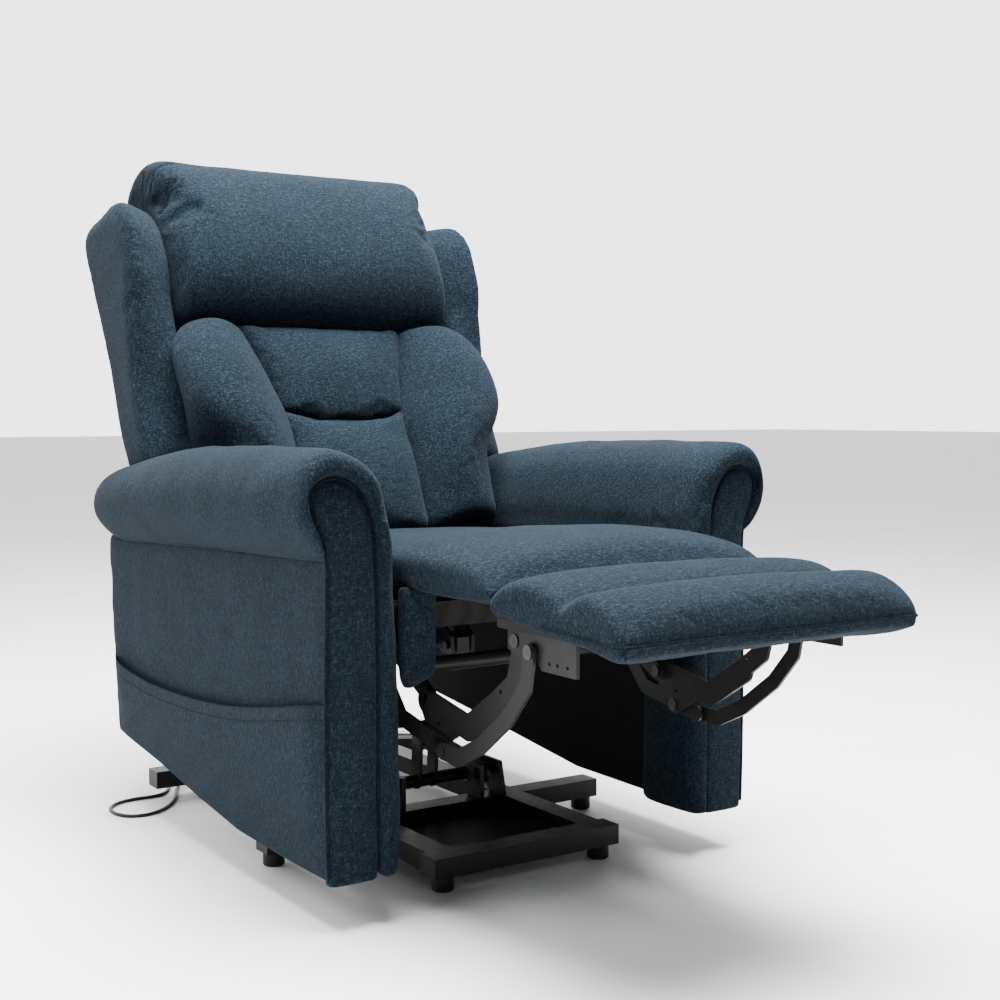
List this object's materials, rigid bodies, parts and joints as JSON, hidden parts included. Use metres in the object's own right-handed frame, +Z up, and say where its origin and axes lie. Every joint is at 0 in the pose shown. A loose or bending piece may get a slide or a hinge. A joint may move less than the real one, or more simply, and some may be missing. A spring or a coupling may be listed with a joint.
{
  "type": "lift recliner chair",
  "caption": "Powered lift and recline armchair with rolled arms, winged back, extending footrest and a steel lifting base.",
  "frame": {"origin": "floor level, at the middle of the chair's footprint with the footrest out and the back reclined", "axes": "+Z up, +Y from the footrest to the back, +X to the chair's right arm as seen from the front"},
  "size_m": [0.82, 1.4919, 1.1271],
  "materials": {
    "upholstery": "woven, heathered navy",
    "lining_cloth": "matt black backing cloth",
    "webbing": "woven elastic strap",
    "timber": "planed, stained black",
    "frame_steel": "satin black powder coat",
    "tray_steel": "satin grey",
    "link_steel": "satin dark grey",
    "pin_steel": "zinc plated",
    "foot_plastic": "moulded",
    "motor_plastic": "moulded, fine grain",
    "rod_steel": "polished",
    "lead_pvc": "soft pvc"
  },
  "bodies": {
    "base": {"base_front_bar": "frame_steel", "base_mid_bar": "frame_steel", "base_rear_bar": "frame_steel", "base_side_rails": "frame_steel", "base_tray": "tray_steel", "levelling_feet": "foot_plastic", "tube_end_plugs": "foot_plastic", "base_pivot_ears": "frame_steel", "base_pivot_pins": "pin_steel", "power_supply": "motor_plastic", "lead_strain_relief": "lead_pvc", "mains_lead": "lead_pvc", "lead_coil": "lead_pvc", "mains_plug": "lead_pvc"},
    "lift_arms": {"lift_arms": "frame_steel", "lift_cross_tube": "frame_steel"},
    "guide_arms": {"guide_arms": "frame_steel"},
    "lift_motor": {"lift_motor": "motor_plastic"},
    "lift_motor_rod": {"lift_motor_rod": "rod_steel"},
    "chair": {"mechanism_plates": "frame_steel", "mechanism_cross_tubes": "frame_steel", "mechanism_hangers": "frame_steel", "mechanism_pins": "pin_steel", "seat_rails": "timber", "seat_webbing": "webbing", "seat_cushion": "upholstery", "seat_cheeks": "upholstery", "left_arm_side": "upholstery", "left_arm_roll": "upholstery", "left_arm_pocket": "upholstery", "right_arm_side": "upholstery", "right_arm_roll": "upholstery", "right_arm_pocket": "upholstery", "arm_frames": "timber", "arm_inner_linings": "lining_cloth", "arm_front_panels": "upholstery", "arm_inner_bands": "upholstery"},
    "back_motor": {"back_motor": "motor_plastic"},
    "back_motor_rod": {"back_motor_rod": "rod_steel"},
    "bridge": {"bridge_pad": "upholstery"},
    "drive_links": {"footrest_drive_links": "link_steel", "footrest_drive_tube": "link_steel"},
    "long_links": {"footrest_long_links": "link_steel", "long_link_pins": "pin_steel"},
    "control_links": {"footrest_control_links": "link_steel"},
    "slim_links": {"footrest_slim_links": "link_steel"},
    "footrest": {"footrest_board": "timber", "footrest_brackets": "link_steel", "footrest_bracket_pins": "pin_steel", "footrest_pad": "upholstery"},
    "backrest": {"back_frame": "timber", "back_hinge_straps": "frame_steel", "back_lever": "frame_steel", "back_rear_cover": "upholstery", "left_wing": "upholstery", "right_wing": "upholstery", "headrest": "upholstery", "left_back_lobe": "upholstery", "right_back_lobe": "upholstery", "centre_back_pads": "upholstery"}
  },
  "joints": [
    {"name": "lift", "type": "hinge", "parent": "base", "child": "lift_arms", "pos_m": [0, 0.036, 0.09], "axis": [1, 0, 0], "range_deg": [0, 55]},
    {"name": "chair_tilt", "type": "hinge", "parent": "lift_arms", "child": "chair", "pos_m": [0, 0.371, 0.13], "axis": [1, 0, 0], "range_deg": [-35.3, 0.1]},
    {"name": "guide_arm_swing", "type": "hinge", "parent": "base", "child": "guide_arms", "pos_m": [0, 0.071, 0.09], "axis": [1, 0, 0], "range_deg": [-0.1, 50.9]},
    {"name": "lift_motor_swing", "type": "hinge", "parent": "base", "child": "lift_motor", "pos_m": [0, 0.451, 0.085], "axis": [1, 0, 0], "range_deg": [-0.1, 1.1]},
    {"name": "lift_rod_travel", "type": "slide", "parent": "lift_motor", "child": "lift_motor_rod", "axis": [0, -0.9811, 0.1936], "range_m": [-0.0005, 0.0732]},
    {"name": "back_recline", "type": "hinge", "parent": "chair", "child": "backrest", "pos_m": [0, 0.311, 0.4], "axis": [1, 0, 0], "range_deg": [-8, 17]},
    {"name": "back_motor_swing", "type": "hinge", "parent": "chair", "child": "back_motor", "pos_m": [0, -0.029, 0.32], "axis": [1, 0, 0], "range_deg": [-0.6, 1.2]},
    {"name": "back_rod_travel", "type": "slide", "parent": "back_motor", "child": "back_motor_rod", "axis": [0, 0.9985, 0.0555], "range_m": [-0.0086, 0.0178]},
    {"name": "footrest_fold", "type": "hinge", "parent": "chair", "child": "drive_links", "pos_m": [0, -0.15087, 0.36395], "axis": [1, 0, 0], "range_deg": [0, 96.08]},
    {"name": "footrest_knee", "type": "hinge", "parent": "drive_links", "child": "long_links", "pos_m": [0, -0.27839, 0.29368], "axis": [1, 0, 0], "range_deg": [-75.2, 0.1]},
    {"name": "footrest_tilt", "type": "hinge", "parent": "long_links", "child": "footrest", "pos_m": [0, -0.508, 0.405], "axis": [1, 0, 0], "range_deg": [-0.1, 69.1]},
    {"name": "control_link_swing", "type": "hinge", "parent": "long_links", "child": "control_links", "pos_m": [0, -0.308, 0.24676], "axis": [1, 0, 0], "range_deg": [-0.1, 69.1]},
    {"name": "slim_link_swing", "type": "hinge", "parent": "control_links", "child": "slim_links", "pos_m": [0, -0.348, 0.23876], "axis": [1, 0, 0], "range_deg": [-69.1, 0.1]},
    {"name": "bridge_fold", "type": "hinge", "parent": "chair", "child": "bridge", "pos_m": [0, -0.334, 0.445], "axis": [1, 0, 0], "range_deg": [-0.1, 85.1]}
  ],
  "couplings": [
    {"joint": "chair_tilt", "follows": "lift", "ratio": -0.64},
    {"joint": "guide_arm_swing", "follows": "lift", "ratio": 0.92199},
    {"joint": "lift_motor_swing", "follows": "lift", "ratio": 0.01648},
    {"joint": "lift_rod_travel", "follows": "lift", "m_per_rad": 0.075768},
    {"joint": "back_motor_swing", "follows": "back_recline", "ratio": 0.06002},
    {"joint": "back_rod_travel", "follows": "back_recline", "m_per_rad": 0.058978},
    {"joint": "footrest_knee", "follows": "footrest_fold", "ratio": -0.78131},
    {"joint": "footrest_tilt", "follows": "footrest_fold", "ratio": 0.71798},
    {"joint": "control_link_swing", "follows": "footrest_fold", "ratio": 0.71798},
    {"joint": "slim_link_swing", "follows": "footrest_fold", "ratio": -0.71798},
    {"joint": "bridge_fold", "follows": "footrest_fold", "ratio": 0.88463}
  ]
}
